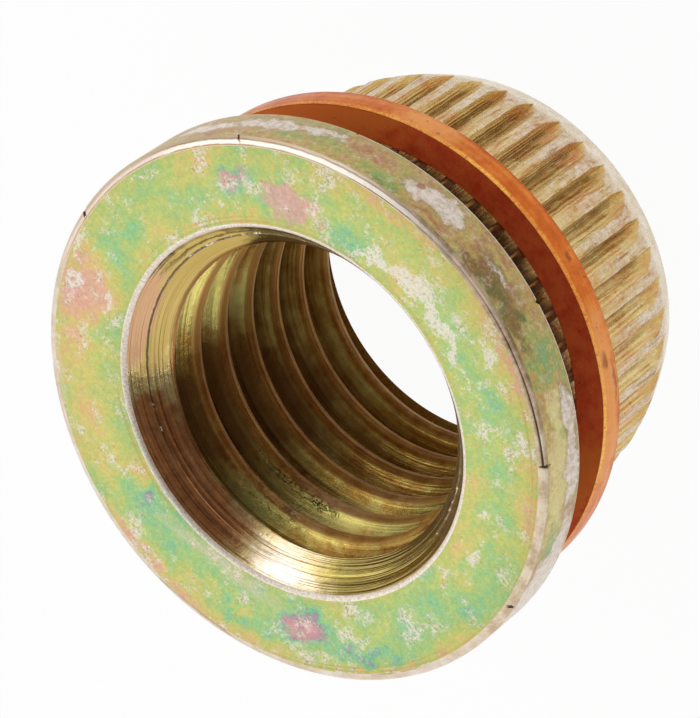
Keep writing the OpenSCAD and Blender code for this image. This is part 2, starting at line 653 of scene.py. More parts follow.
@dataclass(frozen=True)
class FlangeFace:
    """Passivated zinc, its film from salmon over yellow, green and teal to purple, worn white in places.

    A stain's amount thickens the film, or thins it where it is negative.
    """

    film: Sequence[Stain] = (
        Stain(190, 8.25, 11.8, 1.5, 0.7, 0.2),
        Stain(195, 7.8, 11.8, 3.6, 1.3, 0.12),
        Stain(227, 8.5, 11.8, 3.0, 0.6, -0.12),
        Stain(243, 7.65, 11.8, 1.5, 0.8, 0.18),
        Stain(254, 8.7, 11.8, 4.0, 0.45, -0.18),
        Stain(290, 8.7, 11.8, 4.0, 0.45, -0.18),
        Stain(298, 7.0, 11.8, 2.0, 0.8, 0.16),
        Stain(316, 7.1, 11.8, 1.4, 0.9, 0.3),
        Stain(331, 7.75, 11.8, 1.1, 0.7, 0.42),
        Stain(345, 7.4, 11.8, 1.5, 0.8, 0.1),
        Stain(352, 7.8, 11.8, 2.6, 0.9, 0.06),
        Stain(340, 6.5, 11.8, 4.0, 0.3, -0.14),
        Stain(8, 7.6, 11.8, 1.5, 0.9, 0.14),
        Stain(15, 7.1, 11.8, 1.0, 0.6, 0.12),
        Stain(28, 7.9, 11.8, 1.8, 1.6, -0.46),
        Stain(44, 7.8, 11.8, 2.8, 1.5, -0.2),
        Stain(82, 7.5, 11.8, 1.4, 0.8, 0.16),
        Stain(84, 6.9, 11.8, 0.5, 0.4, 0.36),
        Stain(112, 7.4, 11.8, 5.0, 1.3, 0.1),
        Stain(96, 8.7, 11.8, 5.0, 0.45, -0.32),
        Stain(123, 8.15, 11.8, 2.6, 0.6, 0.3),
        Stain(140, 7.5, 11.8, 1.7, 1.1, 0.5),
        Stain(155, 8.25, 11.8, 2.6, 0.75, 0.36),
        Stain(172, 8.0, 11.8, 1.6, 0.8, 0.16),
        Stain(168, 7.0, 11.8, 3.0, 0.8, 0.1),
        Stain(165, 8.75, 11.8, 4.5, 0.2, -0.3),
        Stain(205, 6.6, 11.8, 4.5, 0.3, -0.1),
    )
    worn: Sequence[Stain] = (
        Stain(254, 6.9, 11.8, 1.2, 0.4),
        Stain(265, 7.0, 11.8, 1.5, 0.55, 1.1),
        Stain(276, 7.3, 11.8, 1.3, 0.85, 1.1),
        Stain(286, 7.0, 11.8, 1.3, 0.55),
        Stain(292, 6.8, 11.8, 0.9, 0.3),
        Stain(256, 8.15, 11.8, 1.4, 0.5, 0.9),
        Stain(236, 8.45, 11.8, 1.1, 0.3),
        Stain(203, 7.3, 11.8, 0.9, 0.3, 0.9),
        Stain(214, 7.2, 11.8, 0.6, 0.5, 0.7),
        Stain(19, 8.75, 11.8, 1.2, 0.35),
        Stain(28, 8.5, 11.8, 1.0, 0.4),
        Stain(30, 7.0, 11.8, 1.1, 0.3),
        Stain(47, 8.85, 11.8, 2.4, 0.22),
        Stain(97, 8.8, 11.8, 1.6, 0.15, 0.8),
        Stain(172, 7.9, 11.8, 0.8, 0.35, 0.8),
        Stain(335, 7.0, 11.8, 1.2, 0.4, 0.7),
        Stain(352, 8.6, 11.8, 1.8, 0.25, 0.8),
    )
    pink: Sequence[Stain] = (
        Stain(315, 7.2, 11.8, 1.5, 1.0, 1.8),
        Stain(331, 7.7, 11.8, 1.3, 0.7, 0.7),
        Stain(140, 7.6, 11.8, 1.5, 1.0, 0.7),
        Stain(30, 8.5, 11.8, 2.0, 0.7, 0.8),
    )
    pale: Sequence[Stain] = (Stain(112, 6.6, 11.8, 4.0, 0.5), Stain(52, 8.8, 11.8, 3.0, 0.3))

    def make(self) -> bpy.types.Material:
        """Mix the finish.

        Returns:
            Its material.
        """
        d = Dresser("flange_face")
        grain = d.noise(11.0, 5.0, 0.75)
        clouds = d.noise(1.4, 3.0, 0.6)
        film = d.noise(0.5, 2.0, 0.5) * 0.8 + d.noise(2.0, 8.0, 0.82) * 0.6 + d.noise(8.0, 5.0, 0.8) * 0.6
        film = film + spread(d, self.film, 0.8) * 1.25 - d.radius.rise(7.6, 8.5) * 0.08 - 0.5
        stops = [
            (0.08, shade(224, 170, 144)),
            (0.24, shade(220, 188, 116)),
            (0.36, shade(208, 198, 108)),
            (0.46, shade(192, 200, 108)),
            (0.56, shade(170, 198, 116)),
            (0.68, shade(150, 198, 130)),
            (0.79, shade(120, 190, 150)),
            (0.85, shade(126, 176, 150)),
            (0.9, shade(148, 148, 144)),
            (0.97, shade(182, 134, 154)),
        ]
        colour = d.ramp(film, stops)
        leather = d.ramp(d.noise(7.0, 5.0, 0.75), [(0.34, (0.28,) * 3), (0.66, (0.72,) * 3)])
        colour = d.blend(blots(d, self.pink, 0.9, 1.6) * 0.8, colour, shade(222, 160, 156))
        olive = (d.noise(1.8, 7.0, 0.8) + (grain - 0.5) * 0.4).rise(0.5, 0.64) * 0.35
        colour = d.blend(olive, colour, shade(186, 186, 124))
        colour = d.blend(0.34, colour, leather, "OVERLAY")
        haze = (d.noise(4.0, 6.0, 0.8) + (clouds - 0.5) * 0.9).rise(0.52, 0.78) * 0.45
        worn = (blots(d, self.worn, 0.7, 1.6) * 0.75 + (grain - 0.5) * 3.0).rise(0.25, 0.85)
        specks = (grain * 0.6 + d.noise(5.0, 5.0, 0.8) * 0.4 + (clouds - 0.5) * 0.8).rise(0.54, 0.68) * 0.75
        colour = d.blend(haze * 1.1, colour, shade(216, 208, 172))
        colour = d.blend(spread(d, self.pale, 0.4) * (clouds + 0.1) * 0.8, colour, shade(226, 206, 186))
        colour = d.blend(worn.most(specks), colour, shade(238, 230, 214))
        pits = (d.noise(12.0, 4.0, 0.7) - (clouds - 0.5) * 0.5).rise(0.4, 0.3) * 0.65
        colour = d.blend(pits, colour, shade(146, 122, 76))
        lathe = d.rings(d.radius, 9.0)
        edges = d.radius.rise(8.35, 8.7).most(d.radius.rise(6.75, 6.5))
        colour = d.blend(lathe.rise(0.55, 0.68) * edges * (clouds - 0.1), colour, shade(176, 150, 74))
        rough = 0.42 + worn * 0.12 + (grain - 0.5) * 0.3
        relief = grain * 0.6 + lathe * 0.3 * (0.3 + edges) + d.noise(4.0, 4.0, 0.7)
        return d.coat(colour, 0.4, rough, relief, 0.014)


@dataclass(frozen=True)
class BrightEdge:
    """Zinc rubbed bare on the flange's bevel and on the lip of the mouth, with a painted highlight on the
    bevel's front and painted shade in its burr groove. Lengths are in millimetres.
    """

    face_r: float = 8.87
    rim_r: float = 9.15
    top_z: float = 11.8
    tarnish: Sequence[Stain] = (
        Stain(-108, 9.1, 11.7, 3.0, 0.2, 0.7),
        Stain(112, 8.9, 11.8, 6.0, 0.14, 0.9),
        Stain(165, 8.88, 11.8, 4.5, 0.06, 0.9),
    )
    pink: Sequence[Stain] = (Stain(18, 8.9, 11.78, 3.0, 0.12), Stain(60, 9.1, 11.7, 3.0, 0.2, 0.8))

    def make(self) -> bpy.types.Material:
        """Mix the finish.

        Returns:
            Its material.
        """
        d = Dresser("bright_edge")
        wear = d.noise(1.6, 5.0, 0.7)
        stops = [(0.36, shade(216, 196, 164)), (0.5, shade(232, 214, 192)), (0.64, shade(242, 230, 220))]
        colour = d.ramp(wear, stops)
        colour = d.blend(blots(d, self.tarnish, 0.1, 0.9) * 0.75, colour, shade(172, 134, 78))
        colour = d.blend(blots(d, self.pink, 0.1, 1.0) * 0.5, colour, shade(224, 156, 124))
        grain = d.noise(12.0, 4.0, 0.7)
        line = d.radius + (d.noise(2.0, 4.0, 0.7) - 0.5) * 0.06
        side = (d.x * 0.98 - d.y * 0.2).rise(6.4, 8.4)
        colour = d.blend(side * 0.7, colour, shade(255, 236, 220))
        right = (-d.x * 0.6 - d.y * 0.8).rise(4.0, 7.5)
        cream = d.ramp(wear, [(0.38, shade(212, 178, 134)), (0.56, shade(255, 234, 200))])
        colour = d.blend(right * 0.7, colour, cream)
        corner = line.rise(self.rim_r - 0.03 - 0.14 * side, self.rim_r - 0.01 - 0.06 * side)
        colour = d.blend(corner * (0.35 + 0.25 * side), colour, shade(180, 146, 92))
        inside = side * line.rise(self.face_r + 0.09, self.face_r + 0.04)
        colour = d.blend(inside * 0.5, colour, shade(206, 176, 112))
        # Painted shade: the burr groove at the face's edge is darkened.
        under = self.top_z - d.z - (d.radius - self.face_r).most(0.0) * 0.55
        groove = under.rise(0.004, 0.013) * d.radius.rise(self.face_r - 0.2, self.face_r - 0.1)
        colour = d.blend(groove * 0.85, colour, shade(84, 50, 32))
        nicks = (d.noise(4.0, 4.0, 0.7) + (grain - 0.5) * 0.4).rise(0.34, 0.27)
        colour = d.blend(nicks * 0.6, colour, shade(128, 100, 72))
        # Painted highlight: a bright strip along the front of the bevel.
        front = (d.x * 0.57 - d.y * 0.82).rise(5.8, 7.4)
        foot = self.face_r
        shine = line.band(foot + 0.03, foot + 0.06, foot + 0.15, foot + 0.19) * front
        dull = d.radius.rise(foot + 0.015, foot + 0.03) * line.rise(foot + 0.055, foot + 0.035)
        dull = dull.most(line.band(foot + 0.175, foot + 0.19, foot + 0.215, foot + 0.23))
        colour = d.blend(shine * (0.95 - wear.rise(0.5, 0.62) * 0.25), colour, shade(255, 246, 234))
        colour = d.blend(dull * front * (wear.rise(0.34, 0.5) * 0.4 + 0.2), colour, shade(150, 108, 66))
        back = (-d.x * 0.09 - d.y).rise(8.0, 8.9)
        brown = d.ramp(wear, [(0.42, shade(120, 84, 52)), (0.6, shade(220, 186, 146))])
        colour = d.blend(back * 0.55, colour, brown)
        seam = line.band(foot + 0.015, foot + 0.035, foot + 0.055, foot + 0.08)
        colour = d.blend(seam * side * (wear.rise(0.34, 0.54) * 0.5 + 0.2), colour, shade(182, 132, 84))
        plain = right * 0.25 - shine * 0.6
        lip = d.radius.rise(7.5, 7.0)
        white = d.ramp(grain, [(0.35, shade(222, 204, 182)), (0.58, shade(255, 246, 234))])
        colour = d.blend(lip * 0.9, colour, white)
        rough = 0.3 + shine * 0.08 + nicks * 0.3 + groove * 0.4 + lip * 0.25
        relief = grain * 0.4 + d.noise(2.6, 4.0, 0.7)
        return d.coat(colour, 0.35 + lip * 0.25 - plain, rough, relief, 0.014)


@dataclass(frozen=True)
class FlangeRim:
    """Passivated zinc from rust over olive to teal, with bare lilac patches, on the flange's rim and back.

    A film stain's amount thickens the film, or thins it where it is negative.
    """

    film: Sequence[Stain] = (
        Stain(-147, 9.15, 11.0, 1.4, 0.6, 0.3),
        Stain(-110.5, 9.15, 10.7, 1.1, 1.3, 0.22),
        Stain(-108.5, 9.15, 10.5, 0.7, 0.6, 0.16),
        Stain(-94, 9.15, 10.9, 2.4, 1.4, 0.04),
        Stain(-100, 9.15, 11.2, 1.2, 0.9, 0.12),
        Stain(-91, 9.15, 10.5, 1.0, 0.5, 0.12),
        Stain(-76, 9.15, 11.4, 1.4, 0.3, -0.3),
        Stain(-40, 9.15, 11.0, 3.0, 0.6, 0.12),
        Stain(-63, 9.15, 11.2, 1.3, 0.45, 0.24),
        Stain(-59, 9.15, 10.4, 1.1, 0.9, -0.16),
        Stain(-30, 9.15, 11.3, 3.0, 0.4, -0.2),
        Stain(70, 9.15, 10.9, 3.0, 0.8, 0.25),
        Stain(140, 9.15, 10.6, 3.0, 0.8, -0.2),
    )
    dark: Sequence[Stain] = (
        Stain(-93, 9.15, 10.9, 1.9, 1.2, 1.1),
        Stain(-86, 9.15, 11.45, 1.3, 0.4, 0.8),
        Stain(-103, 9.15, 11.2, 1.4, 0.6, 0.8),
        Stain(-64, 9.15, 11.35, 1.3, 0.3, 0.7),
        Stain(150, 9.15, 10.6, 2.5, 0.9, 0.8),
    )
    yellow: Sequence[Stain] = (Stain(-134, 9.15, 11.0, 3.6, 1.2, 1.1), Stain(-119, 9.15, 10.9, 1.0, 0.8, 0.9))
    bare: Sequence[Stain] = (
        Stain(-163, 9.15, 10.7, 3.2, 1.8, 1.6),
        Stain(-148, 9.15, 10.3, 1.8, 0.9, 0.9),
        Stain(-134, 9.15, 10.2, 1.6, 0.7, 1.4),
        Stain(-122, 9.15, 10.15, 1.5, 0.65, 1.4),
        Stain(-93, 9.15, 10.6, 1.3, 0.45, 0.8),
        Stain(-77, 9.15, 10.5, 1.2, 0.9, 1.5),
        Stain(-70, 9.15, 10.7, 1.0, 0.65, 1.3),
        Stain(-48, 9.15, 10.4, 1.7, 0.5),
        Stain(-35, 9.15, 10.6, 2.2, 0.7, 1.1),
        Stain(-20, 9.15, 10.7, 2.0, 0.9),
        Stain(40, 9.15, 10.5, 2.6, 0.8),
        Stain(110, 9.15, 10.9, 2.2, 0.6),
    )
    rust: Sequence[Stain] = (Stain(-69.5, 9.15, 10.5, 0.25, 0.25, 1.4),)
    back_z: float = 9.75

    def make(self) -> bpy.types.Material:
        """Mix the finish.

        Returns:
            Its material.
        """
        d = Dresser("flange_rim")
        grain = d.noise(12.0, 5.0, 0.75)
        film = d.noise(0.8, 2.0, 0.5) * 0.6 + d.noise(2.6, 6.0, 0.75) * 0.9 + d.noise(8.0, 3.0, 0.6) * 0.4
        film = film + spread(d, self.film, 0.7) - 0.5
        stops = [
            (0.12, shade(182, 112, 82)),
            (0.3, shade(188, 138, 80)),
            (0.42, shade(200, 166, 92)),
            (0.54, shade(184, 174, 84)),
            (0.66, shade(150, 172, 88)),
            (0.82, shade(124, 176, 128)),
        ]
        colour = d.ramp(film, stops)
        colour = d.blend(blots(d, self.yellow, 0.9, 1.8) * 0.7, colour, shade(240, 228, 152))
        colour = d.blend(blots(d, self.dark, 0.9, 1.2) * 0.85, colour, shade(168, 142, 96), "MULTIPLY")
        leather = d.ramp(d.noise(5.0, 6.0, 0.8), [(0.36, (0.24,) * 3), (0.64, (0.76,) * 3)])
        colour = d.blend(0.45, colour, leather, "OVERLAY")
        fine = (d.noise(2.4, 6.0, 0.8) + (grain - 0.5) * 0.5).rise(0.5, 0.72) * 0.5
        patch = spread(d, self.bare, 0.6) + (d.noise(1.9, 6.0, 0.72) - 0.5) * 1.3 + (grain - 0.5) * 0.9
        bare = patch.rise(0.35, 0.85)
        fringe = patch.rise(0.15, 0.4) * patch.rise(0.8, 0.5)
        colour = d.blend(fringe * 0.4, colour, shade(172, 118, 78))
        stops = [(0.36, shade(208, 184, 164)), (0.5, shade(238, 222, 208)), (0.6, shade(250, 240, 232))]
        pale = d.ramp(d.noise(5.0, 5.0, 0.75), stops)
        colour = d.blend((bare * 0.9).most(fine), colour, pale)
        pits = (d.noise(9.0, 4.0, 0.7) + (grain - 0.5) * 0.4).rise(0.4, 0.32)
        colour = d.blend(pits * 0.5, colour, shade(132, 108, 80))
        colour = d.blend(blots(d, self.rust, 0.15, 0.5) * 0.8, colour, shade(170, 92, 56))
        rear = (d.z + (d.noise(3.0, 4.0, 0.7) - 0.5) * 0.05).rise(self.back_z + 0.13, self.back_z + 0.07)
        colour = d.blend(rear * d.radius.rise(8.9, 9.0) * 0.8, colour, shade(232, 222, 204))
        # Painted shade: the flange's back, over the gap above the ring, is darkened.
        colour = d.blend(d.radius.rise(8.95, 8.8) * 0.3, colour, shade(140, 112, 60))
        lathe = d.rings(d.z, 8.0)
        relief = grain * 0.6 + lathe * 0.4 + bare * 0.15 + d.noise(4.0, 4.0, 0.7) * 0.6
        return d.coat(colour, 0.45, 0.38 + (grain - 0.5) * 0.3, relief, 0.014)


@dataclass(frozen=True)
class KnurledShank:
    """Straw passivated zinc, dark in the grooves with painted shade at their roots, and rubbed silver on the
    teeth. Lengths are in millimetres.

    Above the ring, in the gap behind the flange, it is coloured nearly black as painted shade, with fine pale
    ridges as painted glints.
    """

    crest_r: float
    depth: float
    nose_h: float
    nose_drop: float
    nose_curve: float
    ridges: int
    gap_z: float = 7.2
    silver: Sequence[Stain] = (
        Stain(-78, 7.5, 2.6, 1.4, 1.6),
        Stain(-100, 7.5, 3.6, 1.6, 2.0, 0.8),
        Stain(-125, 7.5, 2.2, 2.5, 1.2, 0.8),
        Stain(-140, 7.5, 4.0, 1.4, 2.6, 0.7),
        Stain(20, 7.5, 3.0, 3.0, 2.0, 0.8),
        Stain(100, 7.5, 3.5, 3.5, 2.0, 0.8),
    )

    def make(self) -> bpy.types.Material:
        """Mix the finish.

        Returns:
            Its material.
        """
        d = Dresser("knurled_shank")
        drop = (1.0 - d.z / self.nose_h).most(0.0) ** self.nose_curve * self.nose_drop
        below = self.crest_r - drop - d.radius
        wobble = d.noise(2.5, 4.0, 0.7)
        grain = d.noise(13.0, 5.0, 0.75)
        streak = d.noise(5.0, 5.0, 0.75, d.join(d.x, d.y, d.z * 0.12))
        lines = d.noise(11.0, 3.0, 0.7, d.join(d.x, d.y, d.z * 0.06))
        patch = d.noise(0.9, 3.0, 0.6) * 0.45 + d.noise(3.4, 6.0, 0.75) * 0.25 + streak * 0.3
        stops = [
            (0.38, shade(196, 130, 72)),
            (0.46, shade(214, 164, 98)),
            (0.54, shade(212, 182, 108)),
            (0.64, shade(242, 214, 162)),
        ]
        colour = d.ramp(patch, stops)
        land = (below + (wobble - 0.5) * 0.03).rise(0.045, 0.0)
        silver = blots(d, self.silver, 0.8, 1.6)
        low = d.z.rise(5.4, 2.4)
        rubbed = land * (0.45 + low * 0.3) + silver * 0.35 + (streak - 0.5) * 2.2 + (grain - 0.5) * 1.2
        stops = [(0.36, shade(200, 162, 110)), (0.5, shade(216, 198, 172)), (0.62, shade(228, 216, 210))]
        metal = d.ramp(d.noise(4.0, 5.0, 0.75), stops)
        colour = d.blend(rubbed.rise(0.35, 1.0) * 0.85, colour, metal)
        folds = land * (streak + (grain - 0.5) * 0.3).rise(0.46, 0.38)
        colour = d.blend(folds * 0.6, colour, shade(146, 100, 56))
        # Painted shade: the groove roots are darkened.
        root = below.rise(self.depth - 0.1, self.depth - 0.02)
        colour = d.blend(root * 0.5, colour, shade(104, 70, 30))
        smooth = (d.z + (wobble - 0.5) * 0.6).rise(1.5, 0.8)
        colour = d.blend(lines.rise(0.54, 0.64) * (1 - smooth) * 0.3, colour, shade(250, 232, 186))
        colour = d.blend(lines.rise(0.43, 0.34) * (1 - smooth) * 0.2, colour, shade(124, 92, 48))
        rolled = below + (streak - 0.5) * 0.05
        straight = (d.z + (wobble - 0.5) * 2.0).rise(1.9, 2.9)
        bead = rolled.band(0.13, 0.155, 0.18, 0.205) * straight
        hollow = rolled.band(0.2, 0.22, 0.25, 0.27) * straight
        brim = rolled.band(0.03, 0.045, 0.07, 0.085) * straight
        colour = d.blend((bead + brim) * (grain * 1.6 - 0.4), colour, shade(250, 230, 176))
        colour = d.blend(hollow * (0.9 - grain * 1.1), colour, shade(122, 86, 44))
        nose = d.ramp(d.noise(1.6, 5.0, 0.7), [(0.38, shade(226, 206, 168)), (0.6, shade(248, 236, 218))])
        colour = d.blend(smooth * land * 0.85, colour, nose)
        # Painted shade: the gap above the ring, behind the flange, is coloured nearly black, and its fine
        # ridges are drawn as pale lines that stand for glints.
        gap_shade = d.z.rise(self.gap_z - 0.2, self.gap_z + 0.5)
        ridge = abs((d.angle / FULL_TURN * self.ridges).saw() - 0.5) + (streak - 0.5) * 0.9 + land * 0.08
        stops = [(0.2, shade(20, 13, 7)), (0.42, shade(52, 34, 16)), (0.51, shade(210, 190, 100))]
        colour = d.blend(gap_shade * 0.88, colour, d.ramp(ridge, stops))
        pits = (d.noise(7.0, 4.0, 0.7) + (grain - 0.5) * 0.5).rise(0.38, 0.3)
        colour = d.blend(pits * 0.6, colour, shade(112, 80, 42))
        specks = (grain + (streak - 0.5) * 0.5).rise(0.6, 0.7) * (1 - gap_shade)
        colour = d.blend(specks * 0.5, colour, shade(248, 226, 160))
        relief = grain * 0.5 + streak * 0.8 + lines * 0.4 * (1 - smooth) + (bead - hollow) * 0.3
        relief = relief + d.noise(4.0, 4.0, 0.7) * 0.5
        return d.coat(colour, 0.85 - gap_shade * 0.25, 0.25 + (wobble - 0.5) * 0.3 + gap_shade * 0.25, relief, 0.03)


@dataclass(frozen=True)
class TurnedMouth:
    """Khaki passivated zinc over fine turning lines, in the mouth, with a painted highlight and a painted
    dark reflection. Lengths are in millimetres.
    """

    step_z: float = 11.16
    olive: Sequence[Stain] = (
        Stain(162, 5.8, 11.2, 3.0, 1.6),
        Stain(185, 5.8, 11.2, 2.5, 1.6),
        Stain(335, 5.8, 11.2, 3.0, 1.6, 0.8),
        Stain(340, 6.2, 11.5, 4.0, 0.35),
        Stain(150, 5.8, 11.2, 3.0, 1.6, 0.6),
    )
    pink: Sequence[Stain] = (Stain(28, 6.0, 11.4, 4.2, 0.7, 1.4),)
    gold: Sequence[Stain] = (
        Stain(22, 5.5, 10.9, 5.0, 1.3, 1.4),
        Stain(358, 5.3, 10.5, 2.4, 1.2, 1.2),
        Stain(346, 5.8, 11.2, 2.6, 1.2),
    )
    # Blots of painted dark reflection on the cone, in a reddish brown.
    brown: Sequence[Stain] = (
        Stain(80, 5.8, 11.2, 3.0, 2.0, 1.3),
        Stain(64, 6.0, 11.4, 1.0, 1.4),
        Stain(104, 5.8, 11.2, 2.0, 1.4, 0.9),
    )
    # Painted highlight on the cone, drawn as pale blots.
    pale: Sequence[Stain] = (Stain(129, 5.8, 11.2, 1.6, 1.2, 1.1), Stain(134, 6.0, 11.5, 2.6, 0.5, 0.9))

    def make(self) -> bpy.types.Material:
        """Mix the finish.

        Returns:
            Its material.
        """
        d = Dresser("turned_mouth")
        lathe = d.rings(d.radius, 12.0)
        broad = d.rings(d.radius, 4.0)
        patch = lathe * 0.4 + broad * 0.3 + d.noise(1.5, 5.0, 0.7) * 0.3
        stops = [(0.36, shade(160, 124, 70)), (0.5, shade(212, 188, 130)), (0.64, shade(234, 220, 184))]
        colour = d.ramp(patch, stops)
        brown = blots(d, self.brown, 0.5, 0.8)
        pink = blots(d, self.pink, 0.4, 0.9)
        gold = blots(d, self.gold, 0.4, 0.9)
        colour = d.blend(blots(d, self.olive, 0.6, 0.9) * 0.7, colour, shade(214, 196, 102))
        colour = d.blend(gold * 0.9, colour, shade(252, 218, 122))
        colour = d.blend(pink * 0.9, colour, shade(255, 200, 152))
        # Painted highlight: the pale blots near 130 degrees.
        colour = d.blend(spread(d, self.pale, 0.6) * 0.7, colour, shade(255, 240, 226))
        # Painted dark reflection: the brown blots take this shady ramp.
        stops = [(0.4, shade(140, 74, 42)), (0.6, shade(222, 144, 88))]
        shady = d.ramp(lathe * 0.6 + d.noise(2.5, 5.0, 0.75) * 0.4, stops)
        colour = d.blend(brown * 0.85, colour, shady)
        grain = d.noise(12.0, 4.0, 0.7)
        step = abs(d.z - self.step_z + (d.noise(3.0, 4.0, 0.7) - 0.5) * 0.05)
        worn = (d.y * 0.82 - d.x * 0.57).rise(4.8, 3.4)
        colour = d.blend(step.rise(0.022, 0.008) * worn * 0.85, colour, shade(56, 30, 14))
        foot = (d.radius + (d.noise(3.0, 4.0, 0.7) - 0.5) * 0.06).rise(5.32, 5.24)
        colour = d.blend(foot * 0.75, colour, shade(158, 78, 42))
        torn = (d.x * 0.94 - d.y * 0.34).rise(4.8, 5.8)
        shaken = d.noise(4.0, 5.0, 0.75) + (grain - 0.5) * 0.4
        second = abs(d.z - self.step_z - 0.2 + (shaken - 0.5) * 0.3).rise(0.06, 0.02) * torn
        colour = d.blend(second * 0.7, colour, shade(92, 74, 30))
        chips = (shaken + torn * 0.08).rise(0.6, 0.68) * step.rise(0.09, 0.03) * worn
        colour = d.blend(chips, colour, shade(240, 226, 190))
        relief = lathe * 1.8 + broad * 1.2 + grain * 0.15 + d.noise(2.0, 3.0, 0.6) * 0.8 - second * 2.0
        plain = pink.most(gold) * 0.75
        return d.coat(colour, 0.95 - plain, 0.25 + (grain - 0.5) * 0.1 + plain * 0.3, relief, 0.022)


@dataclass(frozen=True)
class TappedBore:
    """The thread: tan crests, painted lighter on one side, brown flanks with painted shade, and yellow-green
    films. Lengths are in millimetres.
    """

    crest_r: float
    root_r: float
    pitch: float
    phase: float
    film: Sequence[Stain] = (
        Stain(24, 5.6, 9.0, 2.4, 3.0, 1.2),
        Stain(42, 5.6, 7.0, 1.4, 3.4),
        Stain(108, 5.6, 9.4, 1.8, 2.2),
        Stain(130, 5.6, 8.4, 2.4, 2.6, 1.1),
        Stain(155, 5.6, 8.0, 1.4, 2.6),
        Stain(170, 5.6, 6.0, 1.4, 2.6),
        Stain(250, 5.6, 6.0, 2.4, 3.0),
    )
    lilac: Sequence[Stain] = (Stain(122, 5.3, 8.6, 2.2, 2.2, 0.7), Stain(140, 5.3, 7.4, 1.8, 1.8, 0.6))
    torn: Sequence[Stain] = (Stain(112, 5.4, 8.8, 3.0, 2.0),)
    # Blots of painted shade on one side of the bore's wall.
    brown: Sequence[Stain] = (Stain(72, 5.6, 8.2, 3.4, 3.8, 1.3), Stain(88, 5.6, 5.0, 3.0, 3.4))

    def make(self) -> bpy.types.Material:
        """Mix the finish.

        Returns:
            Its material.
        """
        d = Dresser("tapped_bore")
        deep = (d.radius - self.crest_r) / (self.root_r - self.crest_r)
        turn = ((d.z - self.phase) / self.pitch - d.angle / FULL_TURN).saw()
        ridge = 1 - abs(turn - 0.5) * 2
        grain = d.noise(13.0, 5.0, 0.75)
        streak = d.rings(turn * self.pitch + d.z * 0.1, 9.0)
        patch = streak * 0.4 + d.noise(1.4, 5.0, 0.7) * 0.6
        stops = [(0.36, shade(146, 98, 44)), (0.5, shade(190, 154, 78)), (0.64, shade(214, 196, 112))]
        colour = d.ramp(patch, stops)
        colour = d.blend(blots(d, self.film, 0.9, 1.4) * 0.7, colour, shade(206, 202, 120))
        # Painted shade: the brown blots darken the wall around 70 to 90 degrees.
        brown = blots(d, self.brown, 0.8, 1.0)
        colour = d.blend(brown * 0.72, colour, shade(118, 64, 30))
        # Painted shade: darker towards the thread's roots.
        colour = d.blend(deep.rise(0.15, 0.8) * 0.6, colour, shade(84, 48, 22))
        crest = ridge.rise(0.6, 0.74)
        # Painted light: the crests on the +x side are painted much lighter.
        near = (d.x * 0.99 + d.y * 0.1).rise(3.2, 5.0)
        tan = d.ramp(patch, [(0.4, shade(158, 104, 50)), (0.6, shade(196, 148, 76))])
        tan = d.blend(near, tan, shade(255, 200, 122))
        colour = d.blend(crest * 0.85, colour, tan)
        worn = (ridge * 0.9 + (streak - 0.5) * 1.2 + (grain - 0.5) * 0.8).rise(0.8, 1.2)
        colour = d.blend(worn * 0.3, colour, shade(222, 190, 138))
        lilac = blots(d, self.lilac, 0.3, 2.0) * ridge.rise(0.6, 0.8)
        colour = d.blend(lilac * 0.45, colour, shade(240, 200, 164))
        rags = (d.noise(4.0, 5.0, 0.75) + (streak - 0.5) * 0.6).rise(0.5, 0.58) * ridge.rise(0.35, 0.6)
        rags = rags * blots(d, self.torn, 0.6, 1.2)
        colour = d.blend(rags * 0.7, colour, shade(92, 54, 32))
        relief = streak * 1.5 + grain * 0.3 + d.noise(3.0, 5.0, 0.7) * 0.8 - rags * 1.5
        plain = crest * 0.65
        return d.coat(colour, 0.95 - plain, 0.24 + (grain - 0.5) * 0.12 + plain * 0.35, relief, 0.018, 0.1)


